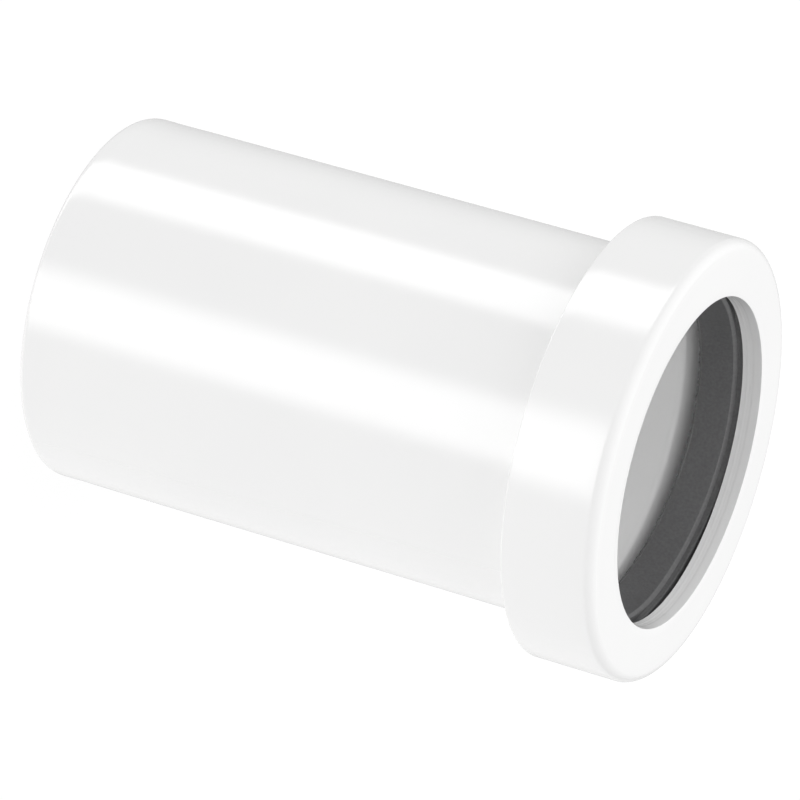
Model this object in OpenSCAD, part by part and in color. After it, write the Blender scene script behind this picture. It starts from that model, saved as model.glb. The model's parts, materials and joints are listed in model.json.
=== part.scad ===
// Straight waste-pipe connector. One end is a plain socket that is glued onto a pipe.
// The other end is a thicker collar with a rubber lip seal, into which a pipe is pushed.
// It stands on its plain end: +Z runs along the pipe, from the plain end to the mouth.

/* [Pipe] */
// Outside diameter of the pipe that both ends take
pipe_diameter = 40; // [32:0.5:50]
// Wall thickness of that pipe, which the inner stop matches
pipe_wall = 1.8; // [1.6:0.1:2.4]

/* [Barrel] */
// Overall length, from the plain end to the mouth
total_length = 78; // [70:0.5:110]
// Wall thickness round the sliding bore
barrel_wall = 2.4; // [2:0.1:3]
// Depth of the glued socket, from the plain end to the stop
glued_depth = 26; // [18:0.5:30]
// Height of the stop between the two bores
stop_height = 2; // [1.5:0.1:4]
// Rounding of the plain end's outer edge
foot_rounding = 0.9; // [0.3:0.1:1.2]
// Chamfer that leads the pipe into the glued socket
lead_in = 0.6; // [0.3:0.1:0.9]

/* [Collar] */
// Length of the collar along the barrel
collar_length = 11.7; // [11:0.1:16]
// Wall left outside the ring groove
collar_wall = 2.15; // [1.5:0.05:3]
// Rounding of the collar's front edge
front_rounding = 1.3; // [0.5:0.1:1.4]
// Rounding of the collar's back edge
back_rounding = 0.25; // [0.1:0.05:0.6]
// Rounding of the mouth's inner edge
mouth_rounding = 0.1; // [0.05:0.05:0.5]
// Thickness of the wall in front of the ring
mouth_land = 2.5; // [2:0.1:3]
// Width of the ring groove along the pipe
groove_width = 5.5; // [5:0.1:6]
// Depth of the ring groove below the bore
groove_depth = 4.65; // [4:0.05:5]
// Depth from the mouth at which the sloped shoulder behind the groove ends
shoulder_reach = 10.4; // [10:0.1:10.8]
// Rounding between that shoulder and the bore
shoulder_rounding = 1.2; // [0.4:0.1:1.6]

/* [Seal] */
// How far the free lip stands inside the pipe's surface
lip_grip = 0.7; // [0.3:0.05:1.2]
// How far the lip reaches behind the mouth
lip_reach = 7.8; // [7.3:0.05:8.3]
// Thickness of the lip at its edge
lip_thickness = 0.5; // [0.4:0.05:1]
// Distance of the lip's outer root from the bore's surface
lip_root = 1.4; // [1:0.05:1.8]
// Thickness of the ring's front wall and of its foot in the groove
foot_thickness = 1.8; // [1.5:0.1:2]
// How far the ring's front edge stands back from the mouth's land
head_inset = 0.35; // [0.25:0.05:0.6]
// Height of that edge, down to the ledge above the lip
head_height = 0.8; // [0.5:0.05:1]
// Drop from the ledge to the middle of the ridge's rounding
ridge_drop = 0.52; // [0.4:0.02:0.7]
// Distance of that middle from the bore's surface
ridge_inset = 0.1; // [0.05:0.01:0.2]
// Rounding of the ridge along the lip's top
ridge_rounding = 0.22; // [0.1:0.01:0.25]
// Rounding of the ring's front edge
head_rounding = 0.25; // [0.1:0.05:0.3]

/* [Hidden] */
$fn = 160;

// Radial gaps round the pipe: one for glue, one for sliding
glue_gap = 0.1;
slide_gap = 0.2;
// Overlap that carries a cut clear of a face
clear = 1;
// How far a slanted side lies inside the rounding it runs into, so that the two cross cleanly
overlap = 0.001;
// Rounding of the barrel's top end, which is inside the collar
hidden_rounding = 0.1;

glued_radius = pipe_diameter / 2 + glue_gap;
slide_radius = pipe_diameter / 2 + slide_gap;
stop_radius = pipe_diameter / 2 - pipe_wall;
barrel_radius = slide_radius + barrel_wall;
groove_radius = slide_radius + groove_depth;
collar_radius = groove_radius + collar_wall;
collar_base = total_length - collar_length;
groove_top = total_length - mouth_land;
groove_base = groove_top - groove_width;
groove_rounding = foot_thickness / 2;
seat_radius = groove_radius - foot_thickness;
shoulder_height = total_length - shoulder_reach;

// Outline from the axis out to a radius, with its two outer corners rounded
module post(radius, low, high, foot, crown) {
    translate([0, low + foot]) square([radius, high - low - foot - crown]);
    translate([0, low]) square([radius - foot, foot + clear]);
    translate([0, high - crown - clear]) square([radius - crown, crown + clear]);
    translate([radius - foot, low + foot]) circle(r = foot);
    translate([radius - crown, high - crown]) circle(r = crown);
}

// Outline of a straight bore that runs past the heights given by the clear overlap
module bore(radius, low, high) {
    translate([-clear, low]) square([radius + clear, high - low]);
}

// Outline that is cut out of a bore's edge at the plain end to make its chamfer
module chamfer_cut(radius, size) {
    polygon([
        [radius - clear, -clear],
        [radius + size + clear, -clear],
        [radius - clear, size + clear]
    ]);
}

// Outline that is cut out of the mouth's edge to round it
module mouth_edge_cut() {
    difference() {
        translate([slide_radius - clear, total_length - mouth_rounding])
            square([clear + mouth_rounding, mouth_rounding + clear]);
        translate([slide_radius + mouth_rounding, total_length - mouth_rounding])
            circle(r = mouth_rounding);
    }
}

// Outline of the sloped shoulder between the groove and the bore, with its lower edge rounded
module shoulder_cut() {
    slope = atan2(groove_base - shoulder_height, seat_radius - slide_radius);
    drop = (shoulder_rounding * (1 - sin(slope)) - overlap) / cos(slope);
    centre = [slide_radius + shoulder_rounding, shoulder_height - drop];
    touch = centre + shoulder_rounding * [-sin(slope), cos(slope)];
    polygon([
        [slide_radius - clear, groove_base + clear],
        [seat_radius, groove_base + clear],
        [seat_radius, groove_base],
        [slide_radius, shoulder_height],
        [slide_radius - clear, shoulder_height]
    ]);
    difference() {
        translate([slide_radius - clear, centre[1]])
            square([touch[0] - slide_radius + clear, touch[1] - centre[1] + clear / 2]);
        translate(centre) circle(r = shoulder_rounding);
    }
}

// Outline of the groove, with rounded corners at its floor
module groove_cut() {
    translate([slide_radius - clear, groove_base])
        square([groove_depth + clear - groove_rounding, groove_width]);
    translate([groove_radius - groove_rounding - clear, groove_base + groove_rounding])
        square([groove_rounding + clear, groove_width - 2 * groove_rounding]);
    for (height = [groove_base + groove_rounding, groove_top - groove_rounding])
        translate([groove_radius - groove_rounding, height]) circle(r = groove_rounding);
}

module connector_body() {
    color("white") rotate_extrude() difference() {
        union() {
            post(barrel_radius, 0, collar_base + clear, foot_rounding, hidden_rounding);
            post(collar_radius, collar_base, total_length, back_rounding, front_rounding);
        }
        bore(glued_radius, -clear, glued_depth);
        bore(stop_radius, glued_depth - clear, glued_depth + stop_height + clear);
        bore(slide_radius, glued_depth + stop_height, total_length + clear);
        chamfer_cut(glued_radius, lead_in);
        mouth_edge_cut();
        groove_cut();
        shoulder_cut();
    }
}

// Where a straight side that touches two round ends meets each of them, on one side or the other.
// A radius of 0 is a plain corner.
function side_ends(start, start_radius, end, end_radius, side) =
    let (
        run = end - start,
        // The side leans by this angle where the two ends differ in size
        lean = acos((start_radius - end_radius) / norm(run)),
        angle = atan2(run[1], run[0]) + side * lean,
        out = [cos(angle), sin(angle)]
    )
    [start + max(start_radius - overlap, 0) * out, end + max(end_radius - overlap, 0) * out];

// Outline of the ring's front wall, from the mouth's side of the lip out to the foot
module web_outline(head, foot_centre) {
    width = foot_centre - head;
    translate([head, groove_top - foot_thickness])
        square([width, foot_thickness - head_rounding]);
    translate([head + head_rounding, groove_top - foot_thickness])
        square([width - head_rounding, foot_thickness]);
    translate([head + head_rounding, groove_top - head_rounding]) circle(r = head_rounding);
}

// Outline of the foot along the groove's floor, as wide as the groove
module foot_outline(foot_centre) {
    end = foot_thickness / 2;
    translate([foot_centre - end, groove_base + end])
        square([foot_thickness, groove_width - foot_thickness]);
    for (height = [groove_base + end, groove_top - end])
        translate([foot_centre, height]) circle(r = end);
}

// Outline of the lip, which leans inwards from its ridge and tapers to its edge
module lip_outline(head) {
    edge_rounding = lip_thickness / 2;
    edge = [
        pipe_diameter / 2 - lip_grip + edge_rounding,
        total_length - lip_reach + edge_rounding
    ];
    ledge = [head, groove_top - head_height];
    ridge = [slide_radius + ridge_inset, ledge[1] - ridge_drop];
    root = [slide_radius + lip_root, groove_top - foot_thickness];
    ridge_side = side_ends(ledge, 0, ridge, ridge_rounding, -1);
    inner_side = side_ends(ridge, ridge_rounding, edge, edge_rounding, -1);
    outer_side = side_ends(root, 0, edge, edge_rounding, 1);
    polygon([
        ledge, ridge_side[1], ridge, inner_side[0], inner_side[1],
        edge, outer_side[1], root, [root[0], ledge[1]]
    ]);
    translate(ridge) circle(r = ridge_rounding);
    translate(edge) circle(r = edge_rounding);
}

module seal_ring() {
    head = slide_radius + head_inset;
    foot_centre = groove_radius - foot_thickness / 2;
    color("dimgray") rotate_extrude() {
        web_outline(head, foot_centre);
        foot_outline(foot_centre);
        lip_outline(head);
    }
}

connector_body();
seal_ring();
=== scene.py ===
"""Looks of the straight pipe connector: a glossy white moulded body and a dark rubber lip seal."""

import json
import math

import bpy
import numpy as np
from mathutils import Matrix, Vector


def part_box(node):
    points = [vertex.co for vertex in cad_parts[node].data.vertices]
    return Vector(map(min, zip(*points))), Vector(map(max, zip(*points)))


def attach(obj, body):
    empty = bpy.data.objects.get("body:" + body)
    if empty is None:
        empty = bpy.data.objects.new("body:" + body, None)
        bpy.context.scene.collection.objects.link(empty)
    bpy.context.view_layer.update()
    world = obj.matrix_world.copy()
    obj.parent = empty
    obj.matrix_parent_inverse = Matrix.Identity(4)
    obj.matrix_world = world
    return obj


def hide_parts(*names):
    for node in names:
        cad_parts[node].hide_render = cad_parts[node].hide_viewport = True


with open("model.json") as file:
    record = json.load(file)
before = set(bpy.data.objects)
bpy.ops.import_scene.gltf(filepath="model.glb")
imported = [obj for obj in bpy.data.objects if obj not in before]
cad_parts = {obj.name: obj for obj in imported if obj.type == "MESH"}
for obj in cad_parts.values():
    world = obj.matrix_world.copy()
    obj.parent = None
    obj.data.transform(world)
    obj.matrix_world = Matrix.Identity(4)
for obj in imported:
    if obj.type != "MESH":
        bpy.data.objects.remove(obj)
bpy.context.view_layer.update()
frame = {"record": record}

MM = 0.001

# Sizes of the frame, in millimetres
body_low, body_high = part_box("connector_body")
ring_low, ring_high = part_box("seal_ring")
mount_radius = {
    mount["name"]: mount["dims"]["r_mm"]
    for mount in frame["record"]["mounts"]
    if "r_mm" in mount["dims"]
}
LENGTH = body_high.z / MM
COLLAR_RADIUS = body_high.x / MM
MOUTH_RADIUS = mount_radius["ring_socket_mouth"]
GLUED_RADIUS = mount_radius["glued_socket"]
GROOVE_RADIUS = ring_high.x / MM
GROOVE_TOP = ring_high.z / MM

# The rest of the body's outline, in millimetres
BARREL_WALL = 2.4
BARREL_RADIUS = MOUTH_RADIUS + BARREL_WALL
COLLAR_LENGTH = 11.7
COLLAR_BASE = LENGTH - COLLAR_LENGTH
FOOT_ROUNDING = 0.9
LEAD_IN = 0.6
FRONT_ROUNDING = 1.3
BACK_ROUNDING = 0.25
MOUTH_ROUNDING = 0.08
GROOVE_WIDTH = 5.5
GROOVE_BASE = GROOVE_TOP - GROOVE_WIDTH
GROOVE_ROUNDING = 0.9
SHOULDER_REACH = 10.4
SHOULDER_ROUNDING = 1.2
GLUED_DEPTH = 26.0
STOP_HEIGHT = 2.0
STOP_RADIUS = 18.2

# The rubber ring's outline, in millimetres, with depths from the mouth
FOOT_RADIUS = 0.9
WEB_THICKNESS = 1.8
HEAD_INSET = 0.35
HEAD_DEPTH = 2.55
HEAD_ROUNDING = 0.25
LEDGE_DEPTH = 3.3
RIDGE_RADIUS = 0.22
RIDGE_INSET = 0.1
RIDGE_DEPTH = 3.82
CROTCH_INSET = 1.4
LIP_EDGE_RADIUS = 0.25
LIP_EDGE_BORE = 19.3
LIP_REACH = 7.75
FRINGE_LENGTH = 0.22
FRINGE_STEP = 0.05
FRINGE_THICKNESS = 0.15
FRINGE_DROP = 0.02

# How the soft ring sits in its groove, in millimetres, and where, in degrees round the photo's axis
RING_SAG = 0.6
SAG_STARTS = 165
SAG_FULL_AFTER = 65
SAG_ENDS = 270
SAG_GONE_AFTER = 70
SAG_BLEND = 2.0
HEAD_GAP = 0.6
HEAD_GAPS = ((106, 22), (253, 14))
HEAD_WIDTH = 0.3
COARSE_TEAR = 0.05
FINE_TEAR = 0.035

# Moulding marks, in millimetres and degrees
FLOW_LINE_DEPTH = 0.03
FLOW_LINE_WIDTH = 0.16
FLOW_LINE_AT = -58.5
FLOW_LINE_LEAN = 5.0
TOOL_STEPS = ((1.05, 0.04), (1.42, 0.015), (1.86, 0.04))
TOOL_STEP_WIDTH = 0.14
TOOL_LANDING = 0.06
TOOL_START = 0.1
TOOL_NARROWING = 0.85
# Shrinkage of the barrel: two slow waves round it, and a shallow dip by the plain end
OVAL_WAVE = 0.018
THREEFOLD_WAVE = 0.010
DIP_DEPTH = 0.030
DIP_AT = 4.3
DIP_WIDTH = 2.6

# The camera fitted to the photo's outline: axis angles in degrees, place in barrel radii
LENS_MM = 263.86
SENSOR_MM = 36.0
AXIS_DIP = math.degrees(0.2809)
AXIS_LEAN = math.degrees(0.3845)
FOOT_IN_CAMERA = (-1.56325, -0.55890, 31.7055)


# Outlines: lists of (radius, height) points in millimetres

def arc(centre, radius, start, end, steps):
    """Points on a round stretch, from one angle to another, in degrees."""
    angles = np.radians(np.linspace(start, end, steps + 1))
    return [(centre[0] + radius * math.cos(a), centre[1] + radius * math.sin(a)) for a in angles]


def straight(start, end, pitch):
    """Points on a straight stretch, without its two ends."""
    count = max(1, round(math.dist(start, end) / pitch))
    return [
        tuple(s + (e - s) * k / count for s, e in zip(start, end))
        for k in range(1, count)
    ]


def tool_steps(top):
    """The mouth's land, cut in turns: each turn narrows a little, then steps back out."""
    points = []
    begun = TOOL_START
    for depth, step in TOOL_STEPS:
        near = begun + TOOL_NARROWING * (depth - begun)
        points += [(MOUTH_RADIUS - TOOL_NARROWING * step, top - near), (MOUTH_RADIUS - step, top - depth)]
        begun = depth + TOOL_STEP_WIDTH
        points += [(MOUTH_RADIUS, top - begun), (MOUTH_RADIUS, top - begun - TOOL_LANDING)]
    return points


def body_outline():
    """The moulded body's closed outline, from the plain end up the outside and down the inside."""
    foot = arc((BARREL_RADIUS - FOOT_ROUNDING, FOOT_ROUNDING), FOOT_ROUNDING, -90, 0, 8)
    back = arc((COLLAR_RADIUS - BACK_ROUNDING, COLLAR_BASE + BACK_ROUNDING), BACK_ROUNDING, -90, 0, 5)
    front = arc((COLLAR_RADIUS - FRONT_ROUNDING, LENGTH - FRONT_ROUNDING), FRONT_ROUNDING, 0, 90, 12)
    mouth = arc((MOUTH_RADIUS + MOUTH_ROUNDING, LENGTH - MOUTH_ROUNDING), MOUTH_ROUNDING, 90, 180, 5)
    groove_x = GROOVE_RADIUS - GROOVE_ROUNDING
    seat = (GROOVE_RADIUS - 2 * FOOT_RADIUS, GROOVE_BASE)
    shoulder = (MOUTH_RADIUS, LENGTH - SHOULDER_REACH)
    slope = math.atan2(seat[1] - shoulder[1], seat[0] - shoulder[0])
    round_drop = SHOULDER_ROUNDING * (1 - math.sin(slope)) / math.cos(slope)
    round_centre = (MOUTH_RADIUS + SHOULDER_ROUNDING, shoulder[1] - round_drop)
    corner = (BARREL_RADIUS, COLLAR_BASE)
    points = [(GLUED_RADIUS + LEAD_IN, 0.0)]
    points += foot
    points += straight(foot[-1], corner, 1.5) + [corner]
    points += back
    points += straight(back[-1], front[0], 1.5)
    points += front
    points += straight(front[-1], mouth[0], 1.0)
    points += mouth
    points += tool_steps(LENGTH)
    points += [(MOUTH_RADIUS, GROOVE_TOP)]
    points += arc((groove_x, GROOVE_TOP - GROOVE_ROUNDING), GROOVE_ROUNDING, 90, 0, 6)
    points += arc((groove_x, GROOVE_BASE + GROOVE_ROUNDING), GROOVE_ROUNDING, 0, -90, 6)
    points += [seat]
    points += arc(round_centre, SHOULDER_ROUNDING, math.degrees(slope) + 90, 180, 6)
    stop_top = (MOUTH_RADIUS, GLUED_DEPTH + STOP_HEIGHT)
    points += straight(points[-1], stop_top, 1.5) + [stop_top]
    points += [(STOP_RADIUS, GLUED_DEPTH + STOP_HEIGHT), (STOP_RADIUS, GLUED_DEPTH)]
    socket_top = (GLUED_RADIUS, GLUED_DEPTH)
    socket_foot = (GLUED_RADIUS, LEAD_IN)
    points += [socket_top] + straight(socket_top, socket_foot, 2.0) + [socket_foot]
    return points


def limb_side(start, start_radius, end, end_radius, side):
    """The two points where a straight side touches a limb's round ends, and the side's angle."""
    run = (end[0] - start[0], end[1] - start[1])
    lean = math.acos((start_radius - end_radius) / math.hypot(*run))
    angle = math.atan2(run[1], run[0]) + side * lean
    touch = (math.cos(angle), math.sin(angle))
    first = tuple(c + start_radius * t for c, t in zip(start, touch))
    last = tuple(c + end_radius * t for c, t in zip(end, touch))
    return first, last, math.degrees(angle)


def ring_outline():
    """The rubber ring's closed outline: front face, foot in the groove, then the free lip."""
    front = (GROOVE_RADIUS - FOOT_RADIUS, GROOVE_TOP - FOOT_RADIUS)
    heel = (front[0], GROOVE_BASE + FOOT_RADIUS)
    head = (MOUTH_RADIUS + HEAD_INSET + HEAD_ROUNDING, LENGTH - HEAD_DEPTH - HEAD_ROUNDING)
    ledge = (MOUTH_RADIUS + HEAD_INSET, LENGTH - LEDGE_DEPTH)
    ridge = (MOUTH_RADIUS + RIDGE_INSET, LENGTH - RIDGE_DEPTH)
    edge = (LIP_EDGE_BORE + LIP_EDGE_RADIUS, LENGTH - LIP_REACH + LIP_EDGE_RADIUS)
    web_under = GROOVE_TOP - WEB_THICKNESS
    crotch = (MOUTH_RADIUS + CROTCH_INSET, web_under)
    _, back_low, back_angle = limb_side(crotch, 0, edge, LIP_EDGE_RADIUS, 1)
    lip_top, lip_low, lip_angle = limb_side(ridge, RIDGE_RADIUS, edge, LIP_EDGE_RADIUS, -1)
    _, ridge_top, ridge_angle = limb_side(ledge, 0, ridge, RIDGE_RADIUS, -1)
    # A thin ragged fringe left by the mould at the lip's inner edge
    blade = (lip_low[0] + FRINGE_STEP, lip_low[1] + FRINGE_DROP)
    blade_end = blade[1] - LIP_EDGE_RADIUS - FRINGE_LENGTH
    tip = FRINGE_THICKNESS / 2
    points = arc(front, FOOT_RADIUS, 90, 0, 8)
    points += straight((GROOVE_RADIUS, front[1]), (GROOVE_RADIUS, heel[1]), 1.0)
    points += arc(heel, FOOT_RADIUS, 0, -180, 12)
    points += [(heel[0] - FOOT_RADIUS, web_under), crotch]
    points += straight(crotch, back_low, 0.5)
    points += arc(edge, LIP_EDGE_RADIUS, back_angle % 360, -70, 8)
    points += [(blade[0] + 2 * tip, points[-1][1])]
    points += arc((blade[0] + tip, blade_end + tip), tip, 0, -180, 6)
    points += straight((blade[0], blade_end + tip), blade, 0.12) + [blade, lip_low]
    points += straight(lip_low, lip_top, 0.35)
    points += arc(ridge, RIDGE_RADIUS, lip_angle % 360, ridge_angle % 360, 8)
    points += straight(ridge_top, ledge, 0.1) + [ledge]
    points += straight(ledge, (ledge[0], head[1]), 0.15)
    points += arc(head, HEAD_ROUNDING, 180, 90, 5)
    return points


# Meshes

def revolve(name, outline, angles, move=None):
    """A closed ring-shaped mesh: the outline turned about Z, each point moved a little by move."""
    outline = np.array(outline)
    turns = np.array(angles)
    radius = np.repeat(outline[:, 0:1], len(turns), 1)
    height = np.repeat(outline[:, 1:2], len(turns), 1)
    angle = np.repeat(turns[None, :], len(outline), 0)
    if move:
        radius, height, angle = move(radius, height, angle)
    places = np.stack([radius * np.cos(angle), radius * np.sin(angle), height], -1) * MM
    rows, columns = radius.shape
    index = np.arange(rows * columns).reshape(rows, columns)
    ahead = np.roll(index, -1, 0)
    beside = np.roll(index, -1, 1)
    corner = np.roll(ahead, -1, 1)
    quads = np.stack([index, beside, corner, ahead], -1).reshape(-1, 4)
    mesh = bpy.data.meshes.new(name)
    mesh.from_pydata(places.reshape(-1, 3).tolist(), [], quads.tolist())
    mesh.validate()
    mesh.shade_smooth()
    mesh.set_sharp_from_angle(angle=math.radians(32))
    piece = bpy.data.objects.new(name, mesh)
    bpy.context.scene.collection.objects.link(piece)
    return piece


def even_turns(count):
    return np.linspace(0, 2 * math.pi, count, endpoint=False)


def photo_angle(degrees):
    """World angle of a direction given from the camera's side towards the photo's upper side."""
    turn = math.radians(degrees)
    return math.atan2(-math.cos(turn), -math.sin(turn)) % (2 * math.pi)


def bump_at(x, centre, width):
    """A smooth hump of height 1, about width wide."""
    return np.exp(-((x - centre) / (width / 2)) ** 2)


def wrapped(angle):
    return (angle + math.pi) % (2 * math.pi) - math.pi


def moulded(radius, height, angle):
    """Shrinkage and mould marks on the barrel's outside, all a few hundredths of a millimetre."""
    outside = (radius > BARREL_RADIUS - 0.05) & (height > FOOT_ROUNDING - 0.01) & (height < COLLAR_BASE - 0.5)
    line_angle = photo_angle(FLOW_LINE_AT)
    sag = OVAL_WAVE * np.sin(2 * angle + 0.4) * np.sin(height / 13.0 + 0.8)
    sag += THREEFOLD_WAVE * np.sin(3 * angle + 2.1 + height / 31.0)
    sag -= DIP_DEPTH * bump_at(height, DIP_AT, DIP_WIDTH)
    across = wrapped(angle - line_angle) * BARREL_RADIUS
    opposite = wrapped(angle - line_angle - math.pi) * BARREL_RADIUS
    line = np.minimum(1, bump_at(across, 0, FLOW_LINE_WIDTH) + bump_at(opposite, 0, FLOW_LINE_WIDTH))
    radius = radius + outside * (sag - FLOW_LINE_DEPTH * line)
    # The mould marks lean a little across the barrel
    lean = math.radians(FLOW_LINE_LEAN) * np.clip(height / COLLAR_BASE, 0, 1)
    return radius, height, angle - lean


def body_turns():
    """Even turns, with closer ones beside the two mould lines."""
    turns = list(even_turns(256))
    offsets = np.array([-2, -1, -0.5, 0, 0.5, 1, 2]) * FLOW_LINE_WIDTH / 2 / BARREL_RADIUS
    for line in (photo_angle(FLOW_LINE_AT), photo_angle(FLOW_LINE_AT) + math.pi):
        turns += [(line + offset) % (2 * math.pi) for offset in offsets]
    turns = sorted(turns)
    kept = [turns[0]]
    for turn in turns[1:]:
        if turn - kept[-1] > 0.0008:
            kept.append(turn)
    return np.array(kept)


def make_body():
    return revolve("moulded_body", body_outline(), body_turns(), moulded)


def ragged(angle, seed, low, high):
    """Smooth random wander round the ring, about -1 to 1, from waves that close on themselves."""
    draw = np.random.default_rng(seed)
    total = np.zeros_like(angle)
    for wave in range(low, high):
        total += draw.normal() * np.sin(wave * angle + draw.uniform(0, 2 * math.pi))
    return total / math.sqrt((high - low) / 2) / 2


def photo_degrees(angle):
    """The reverse of photo_angle, from 0 to 360."""
    return np.degrees(np.arctan2(-np.cos(angle), -np.sin(angle))) % 360


def eased(share):
    """A smooth step from 0 at 0 to 1 at 1."""
    share = np.clip(share, 0, 1)
    return share * share * (3 - 2 * share)


def fitted(radius, height, angle):
    """The free part of the ring sits a little deeper on one side, and its fringe is ragged."""
    turn = photo_degrees(angle)
    sag = RING_SAG * (eased((turn - SAG_STARTS) / SAG_FULL_AFTER) - eased((turn - SAG_ENDS) / SAG_GONE_AFTER))
    free = np.clip((GROOVE_RADIUS - FOOT_RADIUS - radius) / SAG_BLEND, 0, 1)
    gaps = sum(bump_at(turn, middle, width) for middle, width in HEAD_GAPS)
    head = (radius < MOUTH_RADIUS + HEAD_INSET + HEAD_WIDTH) & (height > LENGTH - LEDGE_DEPTH - 0.01)
    radius = radius + HEAD_GAP * gaps * head
    fringe = (height < LENGTH - LIP_REACH + 0.02) & (radius < MOUTH_RADIUS)
    tear = COARSE_TEAR * ragged(angle, 11, 40, 120) + FINE_TEAR * ragged(angle, 12, 120, 300)
    return radius, height - sag * free + tear * fringe, angle


def make_ring():
    return revolve("rubber_lip_ring", ring_outline(), even_turns(720), fitted)


# Materials

def node(tree, kind, **settings):
    made = tree.nodes.new(kind)
    for key, value in settings.items():
        if isinstance(value, (int, float, tuple)) and key in made.inputs:
            made.inputs[key].default_value = value
        else:
            setattr(made, key, value)
    return made


def noise(tree, per_mm, detail=2.0):
    """Noise in the object's own space, with so many features in a millimetre."""
    place = node(tree, "ShaderNodeTexCoord")
    made = node(tree, "ShaderNodeTexNoise", Scale=per_mm / MM, Detail=detail)
    tree.links.new(place.outputs["Object"], made.inputs["Vector"])
    return made.outputs["Fac"]


def spread(tree, value, low, high):
    """Maps noise to a range of numbers."""
    made = node(tree, "ShaderNodeMapRange")
    made.inputs["From Min"].default_value = 0.3
    made.inputs["From Max"].default_value = 0.7
    made.inputs["To Min"].default_value = low
    made.inputs["To Max"].default_value = high
    tree.links.new(value, made.inputs["Value"])
    return made.outputs["Result"]


def blend_colours(tree, value, first, second):
    ramp = node(tree, "ShaderNodeValToRGB")
    ramp.color_ramp.elements[0].position = 0.3
    ramp.color_ramp.elements[0].color = (*first, 1)
    ramp.color_ramp.elements[1].position = 0.7
    ramp.color_ramp.elements[1].color = (*second, 1)
    tree.links.new(value, ramp.inputs["Fac"])
    return ramp.outputs["Color"]


def relief(tree, value, height_mm, before=None):
    bump = node(tree, "ShaderNodeBump", Strength=1.0, Distance=height_mm * MM)
    tree.links.new(value, bump.inputs["Height"])
    if before:
        tree.links.new(before, bump.inputs["Normal"])
    return bump.outputs["Normal"]


def new_material(name):
    material = bpy.data.materials.new(name)
    material.use_nodes = True
    return material, material.node_tree, material.node_tree.nodes["Principled BSDF"]


def white_plastic():
    """Glossy moulded white plastic with a very slight orange-peel skin."""
    material, tree, shader = new_material("glossy_white_plastic")
    links = tree.links
    links.new(blend_colours(tree, noise(tree, 0.05), (0.855, 0.855, 0.855), (0.87, 0.87, 0.868)),
              shader.inputs["Base Color"])
    links.new(spread(tree, noise(tree, 0.3, 4), 0.10, 0.16), shader.inputs["Roughness"])
    skin = relief(tree, noise(tree, 0.25, 2), 0.0015)
    grain = relief(tree, noise(tree, 6.0, 2), 0.0002, skin)
    links.new(grain, shader.inputs["Normal"])
    shader.inputs["IOR"].default_value = 1.5
    return material


def grey_rubber():
    """Dark grey moulded rubber, satin, with a fine grain."""
    material, tree, shader = new_material("dark_grey_rubber")
    links = tree.links
    links.new(blend_colours(tree, noise(tree, 3.0, 5), (0.088, 0.088, 0.09), (0.118, 0.118, 0.12)),
              shader.inputs["Base Color"])
    links.new(spread(tree, noise(tree, 1.5, 4), 0.3, 0.42), shader.inputs["Roughness"])
    links.new(relief(tree, noise(tree, 5.0, 3), 0.01), shader.inputs["Normal"])
    shader.inputs["IOR"].default_value = 1.6
    return material


# Studio: floor, world light and camera

# White of the background as the camera sees it, and how much of it covers the floor's own shading
SEEN_WHITE = 1.03
FLOOR_GLOW_SHARE = 0.85


def seen_straight(tree):
    """1 for what the camera sees, straight on or through something clear, and 0 for other light."""
    path = node(tree, "ShaderNodeLightPath")
    return maths(tree, "MAXIMUM", path.outputs["Is Camera Ray"], path.outputs["Is Transmission Ray"])


def make_floor():
    """A plain pale floor. It shows almost white to the camera, and keeps part of the shadow."""
    bpy.ops.mesh.primitive_plane_add(size=4.0, location=(0, 0, 0))
    floor = bpy.context.object
    floor.name = "pale_floor"
    material = bpy.data.materials.new("pale_floor")
    material.use_nodes = True
    tree = material.node_tree
    tree.nodes.clear()
    out = node(tree, "ShaderNodeOutputMaterial")
    matt = node(tree, "ShaderNodeBsdfDiffuse", Color=(0.9, 0.9, 0.9, 1))
    glow = node(tree, "ShaderNodeEmission", Color=(1, 1, 1, 1), Strength=SEEN_WHITE)
    share = scaled(tree, seen_straight(tree), FLOOR_GLOW_SHARE)
    mix = node(tree, "ShaderNodeMixShader")
    tree.links.new(share, mix.inputs[0])
    tree.links.new(matt.outputs[0], mix.inputs[1])
    tree.links.new(glow.outputs[0], mix.inputs[2])
    tree.links.new(mix.outputs[0], out.inputs["Surface"])
    floor.data.materials.append(material)
    floor.visible_glossy = False
    floor.visible_diffuse = False


def step_up(tree, value, middle, soft):
    """0 below a value and 1 above it, with a soft change."""
    step = node(tree, "ShaderNodeMapRange", interpolation_type="SMOOTHSTEP")
    step.inputs["From Min"].default_value = middle - soft
    step.inputs["From Max"].default_value = middle + soft
    tree.links.new(value, step.inputs["Value"])
    return step.outputs["Result"]


def window(tree, value, low, high, soft):
    """1 where a value lies between two limits, with soft edges."""
    over = step_up(tree, value, low, soft)
    under = added(tree, scaled(tree, step_up(tree, value, high, soft), -1), 1)
    return product(tree, over, under)


def maths(tree, operation, first, second):
    """One sum on two values, each a socket or a number."""
    made = node(tree, "ShaderNodeMath", operation=operation)
    for socket, value in zip(made.inputs, (first, second)):
        if isinstance(value, (int, float)):
            socket.default_value = value
        else:
            tree.links.new(value, socket)
    return made.outputs[0]


def scaled(tree, value, factor):
    return maths(tree, "MULTIPLY", value, factor)


def product(tree, first, second):
    return maths(tree, "MULTIPLY", first, second)


def added(tree, value, more):
    return maths(tree, "ADD", value, more)


def blend(tree, share, first, second):
    """The first value where share is 0, the second where it is 1."""
    keep = maths(tree, "SUBTRACT", 1.0, share)
    return added(tree, product(tree, keep, first), product(tree, share, second))


def total(tree, values):
    result = values[0]
    for value in values[1:]:
        result = added(tree, result, value)
    return result


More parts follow.
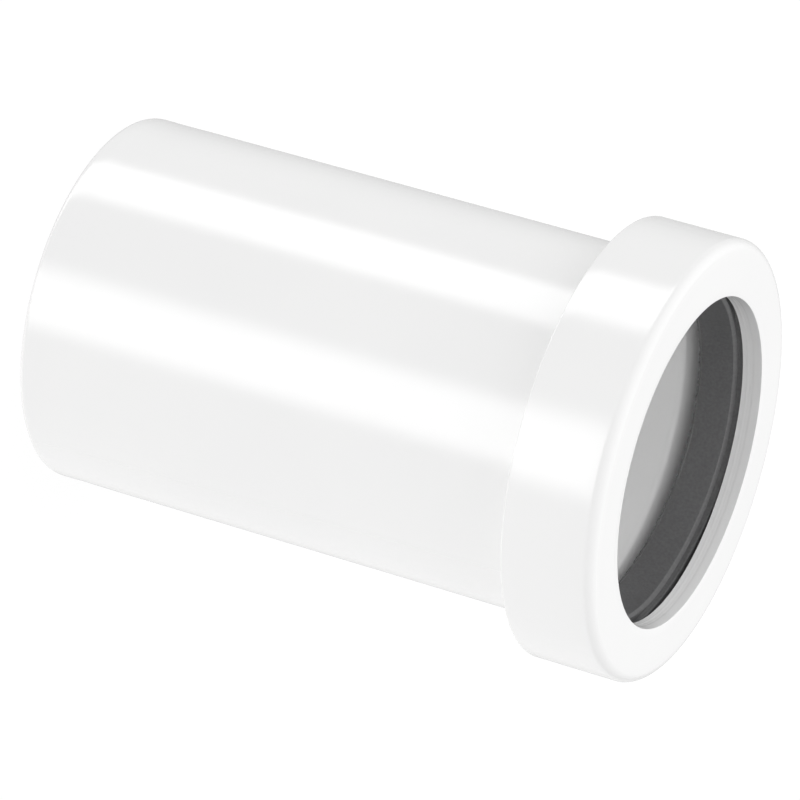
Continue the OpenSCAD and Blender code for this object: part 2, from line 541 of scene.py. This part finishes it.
# Softboxes as directions: middle, half width and soft edge in degrees round the part,
# then lowest and highest rise
STRIP_UPPER = (72.0, 14.6, 5.0, -0.95, 0.05)
STRIP_LOWER = (-12.5, 18.0, 8.0, -0.95, -0.25)
STRIP_LIGHT = 3.6
# Light of the tent as it shows in reflections: at the horizon, more towards the top, below, and behind
HORIZON_LIGHT = 0.55
TOP_LIGHT_MORE = 0.92
LOW_LIGHT = 1.05
LOW_BEHIND_LIGHT = 0.6
# Light of the tent on matt surfaces: at the horizon, more towards the top, from the pale floor, and its lean
SOFT_HORIZON_LIGHT = 0.35
SOFT_TOP_LIGHT_MORE = 1.15
SOFT_FLOOR_LIGHT = 1.16
SOFT_LEAN = 0.4
FLOOR_LEAN = 0.75


def soft_light(tree, west, rise):
    """Matt light: more from above and from one side, with the floor's bounce evening it out."""
    high = added(tree, scaled(tree, rise, SOFT_TOP_LIGHT_MORE), SOFT_HORIZON_LIGHT)
    high = product(tree, high, added(tree, scaled(tree, west, SOFT_LEAN), 1))
    low = scaled(tree, added(tree, scaled(tree, west, -SOFT_LEAN * FLOOR_LEAN), 1), SOFT_FLOOR_LIGHT)
    return blend(tree, step_up(tree, rise, 0, 0.03), low, high)


def reflected_light(tree, azimuth, rise):
    """What shows in the gloss: two tall softboxes low down, and the tent, darker behind and below."""
    strips = []
    for middle, half, soft, low, high in (STRIP_UPPER, STRIP_LOWER):
        band = window(tree, azimuth, middle - half, middle + half, soft)
        tall = window(tree, rise, low, high, 0.08)
        strips.append(scaled(tree, product(tree, band, tall), STRIP_LIGHT))
    sides = window(tree, azimuth, -165, 132, 25)
    low = added(tree, scaled(tree, sides, LOW_LIGHT - LOW_BEHIND_LIGHT), LOW_BEHIND_LIGHT)
    high = added(tree, scaled(tree, rise, TOP_LIGHT_MORE), HORIZON_LIGHT)
    tent = blend(tree, step_up(tree, rise, 0, 0.05), low, high)
    return total(tree, [tent] + strips)


def make_world():
    """A light tent: soft light on matt surfaces, softboxes in reflections, white where it is seen."""
    world = bpy.data.worlds.new("light_tent")
    bpy.context.scene.world = world
    world.use_nodes = True
    world.cycles.sampling_method = "NONE"
    tree = world.node_tree
    background = tree.nodes["Background"]
    place = node(tree, "ShaderNodeTexCoord")
    split = node(tree, "ShaderNodeSeparateXYZ")
    tree.links.new(place.outputs["Generated"], split.inputs[0])
    west = scaled(tree, split.outputs["X"], -1)
    azimuth = scaled(tree, maths(tree, "ARCTAN2", west, scaled(tree, split.outputs["Y"], -1)), 180 / math.pi)
    rise = split.outputs["Z"]
    path = node(tree, "ShaderNodeLightPath")
    light = blend(tree, path.outputs["Is Glossy Ray"], soft_light(tree, west, rise),
                  reflected_light(tree, azimuth, rise))
    light = blend(tree, seen_straight(tree), light, SEEN_WHITE)
    tree.links.new(light, background.inputs["Strength"])
    background.inputs["Color"].default_value = (1, 1, 1, 1)


def make_camera():
    """The photo's camera: far away, with the pipe's axis to the right and dipping."""
    dip, lean = math.radians(AXIS_DIP), math.radians(AXIS_LEAN)
    right = Vector((-math.sin(dip), math.cos(dip) * math.sin(lean), math.cos(dip) * math.cos(lean)))
    up = Vector((-math.cos(dip), -math.sin(dip) * math.sin(lean), -math.sin(dip) * math.cos(lean)))
    forward = Vector((0, math.cos(lean), -math.sin(lean)))
    across, down, ahead = (value * BARREL_RADIUS * MM for value in FOOT_IN_CAMERA)
    place = -(across * right - down * up + ahead * forward)
    camera = bpy.data.objects.new("camera", bpy.data.cameras.new("camera"))
    bpy.context.scene.collection.objects.link(camera)
    turn = Matrix((right, up, -forward)).transposed().to_4x4()
    camera.matrix_world = Matrix.Translation(place) @ turn
    camera.data.lens = LENS_MM
    camera.data.sensor_width = SENSOR_MM
    camera.data.clip_start = 0.05
    camera.data.clip_end = 10.0
    bpy.context.scene.camera = camera


body = make_body()
ring = make_ring()
for piece, cad_node, slot, material in (
    (body, "connector_body", "white_plastic", white_plastic()),
    (ring, "seal_ring", "grey_rubber", grey_rubber()),
):
    piece.data.materials.append(material)
    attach(piece, "root")
    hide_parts(cad_node)

make_floor()
make_world()
make_camera()
bpy.context.scene.view_settings.view_transform = "Standard"
